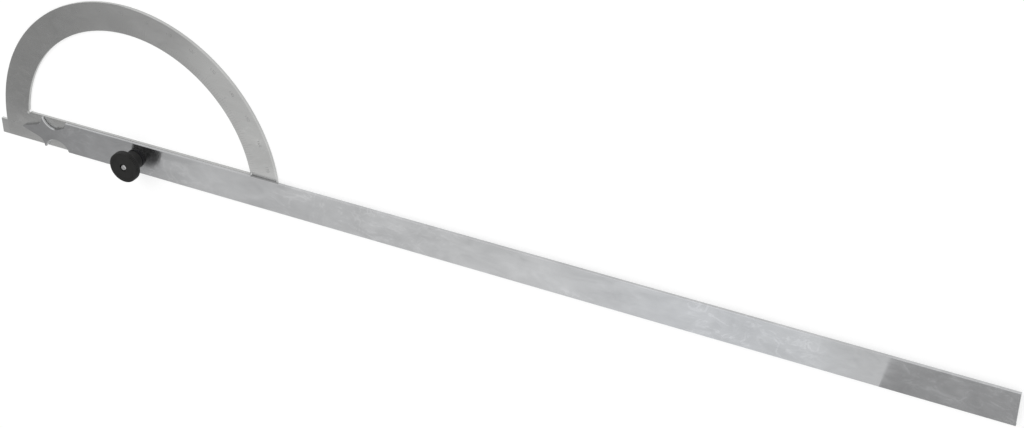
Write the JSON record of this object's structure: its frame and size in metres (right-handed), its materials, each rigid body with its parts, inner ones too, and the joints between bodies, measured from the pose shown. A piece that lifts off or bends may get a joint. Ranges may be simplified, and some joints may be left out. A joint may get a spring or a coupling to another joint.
{
  "type": "bevel protractor",
  "caption": "Open-arc bevel protractor: D-shaped degree plate, long straight blade with an arrow pointer turning at the arc's centre, and a round clamp knob.",
  "frame": {"origin": "on the pivot axis, which is the centre of the arc, in the back face of the degree plate", "axes": "+X along the base bar towards the blade's long square end, +Y towards the top of the arc, +Z out of the graduated face towards the knob"},
  "size_m": [0.957, 0.165, 0.0258],
  "materials": {
    "plate_steel": "satin",
    "blade_steel": "satin, ground lengthwise",
    "stud_steel": "turned",
    "washer_steel": "satin",
    "blackened_steel": "black oxide",
    "spring_steel": "blued",
    "knob_plastic": "moulded, black"
  },
  "bodies": {
    "plate": {"degree_plate": "plate_steel", "pivot_stud": "stud_steel", "spacer_washer": "washer_steel"},
    "blade": {"blade": "blade_steel"},
    "clamp": {"clamp_washer": "blackened_steel", "disc_spring": "spring_steel"},
    "knob": {"knob_insert": "stud_steel", "knob_body": "knob_plastic"}
  },
  "joints": [
    {"name": "blade_swing", "type": "hinge", "parent": "plate", "child": "blade", "pos_m": [0, 0, 0.0048], "axis": [0, 0, -1], "continuous": true},
    {"name": "clamp_lift", "type": "slide", "parent": "plate", "child": "clamp", "axis": [0, 0, 1], "range_m": [0, 0.001]},
    {"name": "knob_turn", "type": "hinge", "parent": "clamp", "child": "knob", "pos_m": [0, 0, 0.0086], "axis": [0, 0, 1], "range_deg": [0, 360]}
  ],
  "couplings": [
    {"joint": "clamp_lift", "follows": "knob_turn", "m_per_rad": 0.00015915}
  ]
}
